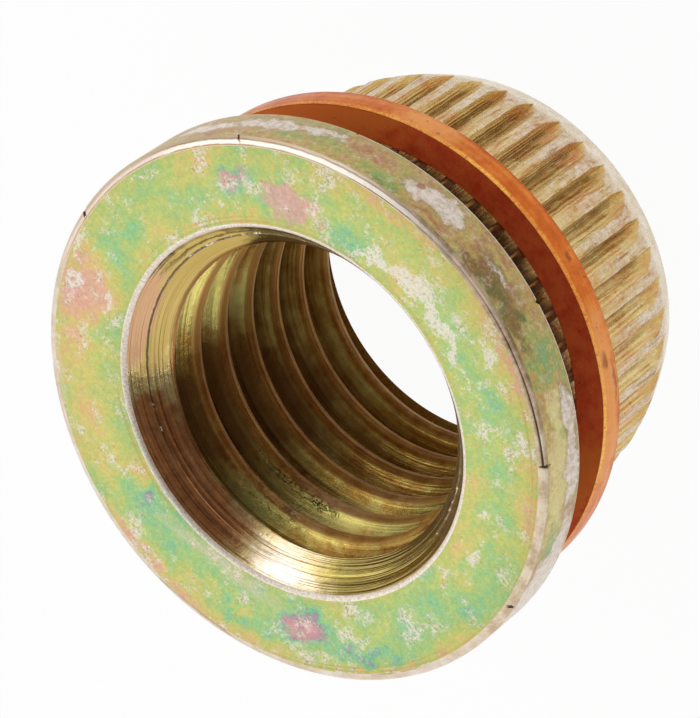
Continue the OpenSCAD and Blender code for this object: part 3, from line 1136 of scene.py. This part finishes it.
@dataclass(frozen=True)
class Copper:
    """Worked copper: orange rim, darker faces, a bright front corner and pits. Lengths are in millimetres."""

    outer_r: float
    front_z: float
    pits: Sequence[Stain] = (
        Stain(-120, 8.6, 7.0, 0.5, 0.25),
        Stain(-97, 8.6, 6.8, 0.3, 0.2),
        Stain(-126, 8.6, 6.6, 1.4, 0.12),
        Stain(70, 8.6, 6.9, 0.6, 0.2),
        Stain(170, 8.6, 6.8, 0.4, 0.25),
    )
    pale: Sequence[Stain] = (
        Stain(-120, 8.6, 6.9, 3.6, 0.9),
        Stain(-140, 8.6, 6.9, 3.0, 0.9),
        Stain(-57, 8.6, 6.9, 2.8, 0.9, 0.9),
        Stain(60, 8.6, 6.9, 4.0, 0.9),
    )
    light: Sequence[Stain] = (
        Stain(-34, 8.2, 7.3, 5.4, 1.4, 1.3),
        Stain(-148, 8.2, 7.3, 3.0, 1.2),
        Stain(140, 8.2, 7.3, 5.0, 1.2),
    )
    # Where the front corner is brightest, partly worn copper and partly a painted highlight.
    bright: Sequence[Stain] = (
        Stain(-74, 8.6, 7.3, 2.2, 0.5),
        Stain(-136, 8.6, 7.3, 3.0, 0.5),
        Stain(90, 8.6, 7.3, 6.0, 0.5),
    )

    def make(self) -> bpy.types.Material:
        """Mix the finish.

        Returns:
            Its material.
        """
        d = Dresser("copper")
        streak = d.rings(d.z * 0.6, 9.0)
        patch = d.noise(1.4, 5.0, 0.7) * 0.6 + streak * 0.4
        stops = [(0.36, shade(184, 84, 28)), (0.5, shade(208, 110, 42)), (0.64, shade(226, 138, 62))]
        rim = d.ramp(patch, stops)
        rim = d.blend(blots(d, self.pale, 0.7, 1.2) * 0.7, rim, shade(234, 164, 96))
        stops = [(0.36, shade(214, 58, 36)), (0.5, shade(234, 78, 46)), (0.64, shade(255, 116, 64))]
        face = d.ramp(patch, stops)
        face = d.blend(blots(d, self.light, 0.9, 1.4) * 0.9, face, shade(255, 136, 60))
        rimmed = d.radius.rise(self.outer_r - 0.12, self.outer_r - 0.04)
        colour = d.blend(rimmed, face, rim)
        grain = d.noise(13.0, 5.0, 0.75)
        corner = (d.z + (grain - 0.5) * 0.2).rise(self.front_z - 0.16, self.front_z - 0.06)
        corner = corner * (d.radius + (grain - 0.5) * 0.16).rise(self.outer_r - 0.09, self.outer_r - 0.02)
        # The bright front corner is partly worn copper and partly a painted highlight, strongest at the
        # bright blots.
        worn = blots(d, self.bright, 0.5, 1.4) * 0.55 + 0.3 + (grain - 0.5) * 2.2
        colour = d.blend(corner * worn, colour, shade(255, 200, 96))
        dots = (d.noise(6.0, 4.0, 0.7) + (grain - 0.5) * 0.3).rise(0.36, 0.29)
        dents = blots(d, self.pits, 0.25, 0.9).most(dots)
        colour = d.blend(dents * 0.6, colour, shade(120, 52, 26))
        relief = grain * 0.4 + streak * 0.6 - dents
        return d.coat(colour, 0.3 + rimmed * 0.62, 0.32 + (grain - 0.5) * 0.3, relief, 0.02)


# ---------------------------------------------------------------------------
# The pieces
# ---------------------------------------------------------------------------


@dataclass(frozen=True)
class Nick:
    """A nick in an edge of the flange. Sizes are in millimetres, angles in degrees."""

    angle: float
    width: float
    depth: float
    lean: float = 0.0
    rear: bool = False


@dataclass
class InsertBody:
    """The turned, knurled and tapped bush. Sizes are in millimetres, angles in degrees."""

    length: float
    flange_r: float
    flange_t: float = 2.05
    flange_bevel: float = 0.28
    knurl_r: float = 7.5
    groove_count: int = 45
    groove_depth: float = 0.35
    groove_first: float = 0.5
    crest_land: float = 0.31
    lean: float = 0.6
    nose_h: float = 2.0
    nose_drop: float = 0.66
    nose_curve: float = 1.25
    major_r: float = 6.0
    pitch: float = 1.5
    thread_phase: float = 0.64
    run_out: float = 0.6
    mouth_r: float = 6.35
    step_r: float = 5.8
    lead_in_h: float = 0.63
    sink_angle: float = 36.0
    tail_sink_h: float = 1.2
    edge: float = 0.1
    facets: int = 540
    thread_steps: int = 120
    seed: int = 7
    burr: Point = (-129.0, -58.0)
    nicks: Sequence[Nick] = (
        Nick(-129, 0.13, 0.07),
        Nick(13, 0.24, 0.04, -20),
        Nick(-33, 0.12, 0.03, 30),
        Nick(-163, 0.2, 0.035, 15),
        Nick(-52, 0.24, 0.06, 10, rear=True),
        Nick(-100, 0.3, 0.08, -15, rear=True),
        Nick(35, 0.3, 0.07, 0, rear=True),
    )

    @property
    def minor_r(self) -> float:
        """Radius over the thread's crests."""
        return self.major_r - THREAD_DEPTH * self.pitch

    @property
    def flange_z(self) -> float:
        """Height of the flange's back."""
        return self.length - self.flange_t

    def _blank(self) -> bpy.types.Object:
        """Turn the outside: nose, shank and flange.

        Returns:
            The blank.
        """
        e, top, rim = self.edge, self.length, self.flange_r
        nose = [
            (self.knurl_r - self.nose_drop * t**self.nose_curve, self.nose_h * (1 - t))
            for t in (i / 16 for i in range(15, -1, -1))
        ]
        nose_r = self.knurl_r - self.nose_drop
        outline = [(0.0, 0.0), (nose_r - 1.2 * e, 0.0), (nose_r - 0.4 * e, 0.2 * e), *nose]
        outline += [(self.knurl_r, z * self.flange_z / 8) for z in range(2, 9)]
        outline += [(rim - e, self.flange_z), (rim - 0.3 * e, self.flange_z + 0.3 * e)]
        outline += [(rim, self.flange_z + e), (rim, top - 0.55 * self.flange_bevel)]
        outline += [(rim - 0.06, top - 0.3 * self.flange_bevel)]
        outline += [(rim - self.flange_bevel, top), (0.0, top)]
        return Bench.turn("blank", outline, self.facets)

    def _mouth_tool(self) -> bpy.types.Object:
        """Make the cutter of the mouth: rolled lip, steep lead-in, ledge and countersink.

        Returns:
            The cutter.
        """
        e, top = self.edge, self.length
        slope = math.tan(math.radians(self.sink_angle))
        foot = top - self.lead_in_h - 0.02
        outline = [
            (0.0, foot - (self.step_r - 0.06) / slope),
            (self.step_r - 0.06, foot),
            (self.step_r, foot + 0.02),
            (self.mouth_r - 1.6 * e, top - 1.2 * e),
            (self.mouth_r - 1.3 * e, top - 0.7 * e),
            (self.mouth_r - 0.8 * e, top - 0.3 * e),
            (self.mouth_r, top),
            (self.mouth_r, top + 1.0),
            (0.0, top + 1.0),
        ]
        return Bench.turn("mouth_tool", outline, self.facets)

    def _tail_tool(self) -> bpy.types.Object:
        """Make the cutter of the drilled bore and of the countersink in the nose.

        Returns:
            The cutter.
        """
        r, sink = self.minor_r, self.tail_sink_h
        outline = [(0.0, -1.0), (r + sink + 1, -1.0), (r, sink), (r, self.length + 1), (0.0, self.length + 1)]
        return Bench.turn("tail_tool", outline, self.facets)

    def _tap(self) -> bpy.types.Object:
        """Make the thread's cutter: a sixty degree section swept along the helix, fading out at its end.

        Returns:
            The cutter.
        """
        inner, crest = self.minor_r - 0.12, self.minor_r
        flat = self.pitch / 16

        def half(r: float) -> float:
            """Half the groove's width at a radius."""
            return flat + (self.major_r - r) * math.tan(math.radians(30))

        foot = self.thread_phase - self.pitch
        flank = half(crest + 0.13)
        profile = [(inner, flank + 0.23), (crest + 0.01, flank + 0.23), (crest + 0.03, flank + 0.17)]
        profile += [(crest + 0.07, flank + 0.07), (crest + 0.13, flank)]
        profile += [(self.major_r - 0.05, half(self.major_r - 0.05)), (self.major_r, 0.5 * flat)]
        low = foot - profile[0][1]
        corners = [(r, 0.0, foot - side) for r, side in profile]
        corners += [(r, 0.0, foot + side) for r, side in reversed(profile)]
        work = Bench.draw("tap", corners)
        bpy.ops.mesh.select_all(action="SELECT")
        bpy.ops.mesh.edge_face_add()
        bpy.ops.mesh.delete(type="ONLY_FACE")
        bpy.ops.object.mode_set(mode="OBJECT")
        turns = math.ceil((self.length - 0.4 - self.thread_phase) / self.pitch)
        sweep = work.modifiers.new("sweep", "SCREW")
        sweep.axis = "Z"
        sweep.angle = FULL_TURN
        sweep.screw_offset = self.pitch * MM
        sweep.iterations = turns
        sweep.steps = sweep.render_steps = self.thread_steps
        bpy.ops.object.modifier_apply(modifier=sweep.name)

        def fade(p: Vector) -> Vector:
            """Draw a corner of the last part turn towards the section's foot.

            Args:
                p: The corner.

            Returns:
                Its new place.
            """
            angle = math.atan2(p.y, p.x) % FULL_TURN / FULL_TURN
            count = round((p.z - foot) / self.pitch - angle) + angle
            keep = min(1.0, max(0.15, (turns - count) / self.run_out))
            r = math.hypot(p.x, p.y)
            out = (inner + (r - inner) * keep) / r
            base = low + self.pitch * count
            return Vector((p.x * out, p.y * out, base + (p.z - base) * (0.3 + 0.7 * keep)))

        Bench.reshape(work, fade)
        Bench.take(work)
        bpy.ops.object.mode_set(mode="EDIT")
        bpy.ops.mesh.select_all(action="DESELECT")
        bpy.ops.mesh.select_non_manifold()
        bpy.ops.mesh.edge_face_add()
        Bench.finish()
        return work

    def _burr_tool(self) -> bpy.types.Object:
        """Make the cutter of the line that the bevelling tool left on one side of the face.

        It starts deep at a nick in the middle of the bevel and runs out at the face's edge.

        Returns:
            The cutter, in place.
        """
        start, end = self.burr
        span = abs(end - start)
        work = Bench.bar("burr_tool", [(0.0, 0.0), (0.05, 0.09), (-0.05, 0.09)], 0.0, span, int(span))

        def bend(p: Vector) -> Vector:
            """Lay a corner of the straight bar along the arc.

            Args:
                p: The corner.

            Returns:
                Its new place.
            """
            share = 1 - p.z / span
            angle = math.radians(start + share * (end - start))
            inset = 0.13 + 0.11 * share + 0.01 * math.sin(9 * share)
            r = self.flange_r - inset + p.x * (1.1 - 0.5 * share)
            slope = self.length - 0.55 * self.flange_bevel * (1 - inset / self.flange_bevel)
            return Vector((r * math.cos(angle), r * math.sin(angle), slope + p.y - 0.05 + 0.035 * share))

        Bench.reshape(work, bend)
        return work

    def _knurl_tool(self, at: float, shake: random.Random) -> bpy.types.Object:
        """Make one cutter of the knurl: an uneven V with a small ledge on its long flank.

        Args:
            at: Turning angle of its groove.
            shake: Where its unevenness comes from.

        Returns:
            The cutter, in place.
        """
        half = math.pi * self.knurl_r / self.groove_count - self.crest_land / 2
        root = self.knurl_r - self.groove_depth
        deep = half * (self.lean + shake.uniform(-0.08, 0.08))
        ledge = -half + 0.2 + shake.uniform(-0.07, 0.07)
        drop = 0.1 + shake.uniform(-0.03, 0.05)
        top = self.knurl_r + 0.12
        flank = self.knurl_r - drop
        section = [(root, deep - 0.012), (flank - 0.045, ledge + 0.03), (flank, ledge)]
        section += [(top, -half - 0.14), (top, half + 0.05), (root, deep + 0.012)]
        work = Bench.bar("knurl_tool", section, -0.5, self.flange_z - 0.02, 30)
        Bench.roughen(work, 0.012, shake)
        work.data.transform(Matrix.Rotation(math.radians(at), 4, "Z"))
        return work

    def _nick_tool(self, nick: Nick, shake: random.Random) -> bpy.types.Object:
        """Make the cutter of one nick in the flange's edge.

        Args:
            nick: Where it is and how large.
            shake: Where its unevenness comes from.

        Returns:
            The cutter, in place.
        """
        w, deep = nick.width / 2, nick.depth
        section = [(-deep, 0.0), (0.5 * deep, -w), (2 * deep, 0.0), (0.5 * deep, w)]
        work = Bench.bar("nick_tool", section, -0.4, 0.4, 6)
        Bench.roughen(work, 0.35 * deep, shake)
        slope = -45
        corner = (self.flange_r - self.flange_bevel / 2, 0.0, self.length - self.flange_bevel / 4)
        if nick.rear:
            slope = 45
            corner = (self.flange_r - self.edge / 4, 0.0, self.flange_z + self.edge / 4)
        turn = Matrix.Rotation(math.radians(nick.angle), 4, "Z")
        lean = Matrix.Rotation(math.radians(nick.lean), 4, "X") @ Matrix.Rotation(math.radians(slope), 4, "Y")
        work.data.transform(turn @ Matrix.Translation(Vector(corner) * MM) @ lean)
        return work

    def _zone(self, face: bpy.types.MeshPolygon) -> Zone:
        """Tell which finish a face of the mesh takes.

        Args:
            face: The face.

        Returns:
            Its zone.
        """
        x, y, z = face.center / MM
        r = math.hypot(x, y)
        if z > self.tail_sink_h and r < self.major_r + 0.01 and z < self._sink_floor(r):
            return Zone.THREAD
        if r < self.mouth_r - 0.13 and z < self.length - 0.11:
            return Zone.MOUTH if z > self.flange_z - 1 else Zone.SHANK
        if z > self.length - 0.001:
            return Zone.FACE
        if z > self.length - 0.6 * self.flange_bevel:
            return Zone.EDGE
        return Zone.RIM if z > self.flange_z - 0.03 else Zone.SHANK

    def _sink_floor(self, r: float) -> float:
        """Give the countersink's height at a radius up to its step, less a hair.

        Args:
            r: The radius.

        Returns:
            The height.
        """
        foot = self.length - self.lead_in_h - 0.02
        short = max(0.0, self.step_r - 0.06 - r)
        return foot - short / math.tan(math.radians(self.sink_angle)) - 0.004

    def _dress(self, body: bpy.types.Object) -> None:
        """Give each zone its finish.

        Args:
            body: The cut body.
        """
        nose = (self.nose_h, self.nose_drop, self.nose_curve)
        crest_r = round(self.minor_r, 3)
        finishes = {
            Zone.FACE: FlangeFace(),
            Zone.EDGE: BrightEdge(),
            Zone.RIM: FlangeRim(),
            Zone.SHANK: KnurledShank(self.knurl_r, self.groove_depth, *nose, ridges=3 * self.groove_count),
            Zone.MOUTH: TurnedMouth(),
            Zone.THREAD: TappedBore(crest_r, self.major_r, self.pitch, self.thread_phase),
        }
        body.data.materials.clear()
        for zone in Zone:
            body.data.materials.append(finishes[zone].make())
        for face in body.data.polygons:
            face.material_index = self._zone(face).value

    def build(self) -> bpy.types.Object:
        """Turn, knurl, bore, tap and countersink the body, then dress it.

        Returns:
            The finished piece.
        """
        shake = random.Random(self.seed)
        body = self._blank()
        body.name = "threaded_body"
        step = 360 / self.groove_count
        starts = [self.groove_first + step * i for i in range(self.groove_count)]
        knurl = Bench.join([self._knurl_tool(at, shake) for at in starts])
        Bench.cut(body, knurl)
        Bench.cut(body, self._tail_tool(), self._tap(), self._mouth_tool())
        Bench.cut(body, self._burr_tool(), *(self._nick_tool(nick, shake) for nick in self.nicks))
        Bench.weld(body)
        self._dress(body)
        Bench.smooth(body)
        return body


@dataclass
class SealingRing:
    """The flat copper ring on the knurl. Sizes are in millimetres."""

    inner_r: float
    outer_r: float
    low: float
    high: float
    edge: float = 0.06
    facets: int = 360

    def build(self) -> bpy.types.Object:
        """Turn the ring.

        Returns:
            The finished piece.
        """
        e = self.edge
        outline = [
            (self.inner_r + e, self.low),
            (self.outer_r - e, self.low),
            (self.outer_r, self.low + e),
            (self.outer_r, self.high - 3 * e),
            (self.outer_r - e, self.high),
            (self.inner_r + e, self.high),
            (self.inner_r, self.high - e),
            (self.inner_r, self.low + e),
            (self.inner_r + e, self.low),
        ]
        ring = Bench.turn("copper_ring", outline, self.facets)
        ring.data.materials.append(Copper(self.outer_r, round(self.high, 3)).make())
        Bench.smooth(ring)
        return ring


# ---------------------------------------------------------------------------
# The studio
# ---------------------------------------------------------------------------


@dataclass(frozen=True)
class Lamp:
    """A soft box. Its place is given by angles in degrees and a distance in metres, its glow per area."""

    name: str
    azimuth: float
    elevation: float
    distance: float
    width: float
    height: float
    glow: float


@dataclass(frozen=True)
class Studio:
    """A pale floor, a white surround, soft lamps and the camera.

    The surround grows from dim to bright as its direction nears bright_way. Places are in metres, angles in
    degrees, the lens and the sensor in millimetres.
    """

    lamps: Sequence[Lamp] = (
        Lamp("key", -21, 20, 0.3, 0.23, 0.15, 1.75),
        Lamp("high", 8, 50, 0.3, 0.11, 0.12, 2.4),
        Lamp("side", 175, 18, 0.3, 0.25, 0.16, 1.9),
        Lamp("back", 88, 52, 0.35, 0.26, 0.22, 0.8),
    )
    bright_way: tuple[float, float, float] = (0.05, 0.95, 0.3)
    dim_until: float = -0.1
    bright_from: float = 0.75
    dim: float = 0.16
    bright: float = 0.95
    floor_size: float = 2.0
    floor_colour: Colour = (0.86, 0.86, 0.85)
    floor_glow: float = 0.955
    lamp_aim: float = 0.008
    camera_at: tuple[float, float, float] = (0.00030, -0.09133, 0.11048)
    elevation: float = 48.294
    roll: float = 126.1
    lens: float = 219.05
    sensor: float = 36.0

    def camera(self) -> None:
        """Set up the camera, rolled about its line of sight."""
        data = bpy.data.cameras.new("camera")
        data.lens = self.lens
        data.sensor_fit = "VERTICAL"
        data.sensor_width = data.sensor_height = self.sensor
        data.clip_start = 0.001
        camera = bpy.data.objects.new("camera", data)
        bpy.context.scene.collection.objects.link(camera)
        tilt = Matrix.Rotation(math.radians(90 - self.elevation), 4, "X")
        roll = Matrix.Rotation(math.radians(-self.roll), 4, "Z")
        camera.matrix_world = Matrix.Translation(self.camera_at) @ tilt @ roll
        bpy.context.scene.camera = camera

    def surround(self) -> None:
        """Set up the surround: bright behind and above, dark at the near side, white where it is seen."""
        world = bpy.data.worlds.new("surround")
        bpy.context.scene.world = world
        world.use_nodes = True
        wiring = Wiring(world.node_tree)
        way = wiring.node("ShaderNodeTexCoord", {}, {}).outputs["Generated"]
        inputs: Inputs = {"Value": wiring.vector("DOT_PRODUCT", way, self.bright_way)}
        inputs.update({"From Min": self.dim_until, "From Max": self.bright_from})
        inputs.update({"To Min": self.dim, "To Max": self.bright})
        light = Value(wiring, wiring.node("ShaderNodeMapRange", SMOOTH_STEP, inputs).outputs[0])
        seen = Value(wiring, wiring.node("ShaderNodeLightPath", {}, {}).outputs["Is Camera Ray"])
        white = {"Color": (1.0, 1.0, 1.0), "Strength": light.most(seen)}
        back = wiring.node("ShaderNodeBackground", {}, white)
        wiring.node("ShaderNodeOutputWorld", {}, {0: back.outputs[0]})

    def floor(self) -> None:
        """Lay the pale floor, white where it is seen but still darker in the object's shadow."""
        Bench.clear()
        bpy.ops.mesh.primitive_plane_add(size=self.floor_size)
        floor = bpy.context.object
        floor.name = "floor"
        material = bpy.data.materials.new("pale_floor")
        material.use_nodes = True
        wiring = Wiring(material.node_tree)
        rays = wiring.node("ShaderNodeLightPath", {}, {}).outputs
        seen = Value(wiring, rays["Is Camera Ray"]).most(Value(wiring, rays["Is Glossy Ray"]))
        paint = wiring.node("ShaderNodeBsdfDiffuse", {}, {"Color": self.floor_colour})
        glow = wiring.node("ShaderNodeEmission", {}, {"Strength": 1.0})
        inputs = {0: seen * self.floor_glow, 1: paint.outputs[0], 2: glow.outputs[0]}
        mix = wiring.node("ShaderNodeMixShader", {}, inputs)
        wiring.node("ShaderNodeOutputMaterial", {}, {0: mix.outputs[0]})
        floor.data.materials.append(material)

    def hang(self) -> None:
        """Hang the soft lamps."""
        for lamp in self.lamps:
            data = bpy.data.lights.new(lamp.name, "AREA")
            data.shape = "RECTANGLE"
            data.size, data.size_y = lamp.width, lamp.height
            data.energy = lamp.glow * math.pi * lamp.width * lamp.height
            light = bpy.data.objects.new(lamp.name, data)
            bpy.context.scene.collection.objects.link(light)
            turn, up = math.radians(lamp.azimuth), math.radians(lamp.elevation)
            way = Vector((math.cos(up) * math.cos(turn), math.cos(up) * math.sin(turn), math.sin(up)))
            place = way * lamp.distance + Vector((0, 0, self.lamp_aim))
            facing = way.to_track_quat("Z", "Y").to_matrix().to_4x4()
            light.matrix_world = Matrix.Translation(place) @ facing


def report(piece: bpy.types.Object) -> None:
    """Log a piece's name and its count of triangles.

    Args:
        piece: The finished piece.
    """
    piece.data.calc_loop_triangles()
    log.info("%s: %d triangles", piece.name, len(piece.data.loop_triangles))


def main() -> None:
    """Build the pieces around the frame and set up the studio."""
    logging.basicConfig(level=logging.INFO, format="%(name)s: %(message)s")
    scene = bpy.context.scene
    scene.view_settings.view_transform = "Standard"
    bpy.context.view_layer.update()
    _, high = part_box(Node.BODY.value)
    body = InsertBody(length=high.z / MM, flange_r=high.x / MM)
    piece = body.build()
    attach(piece, "root")
    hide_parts(Node.BODY.value)
    report(piece)
    low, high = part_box(Node.RING.value)
    ring = SealingRing(body.knurl_r + RING_PLAY, high.x / MM, low.z / MM, high.z / MM)
    piece = ring.build()
    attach(piece, "root")
    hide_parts(Node.RING.value)
    report(piece)
    studio = Studio()
    studio.camera()
    studio.surround()
    studio.hang()
    studio.floor()


if __name__ == "__main__":
    main()
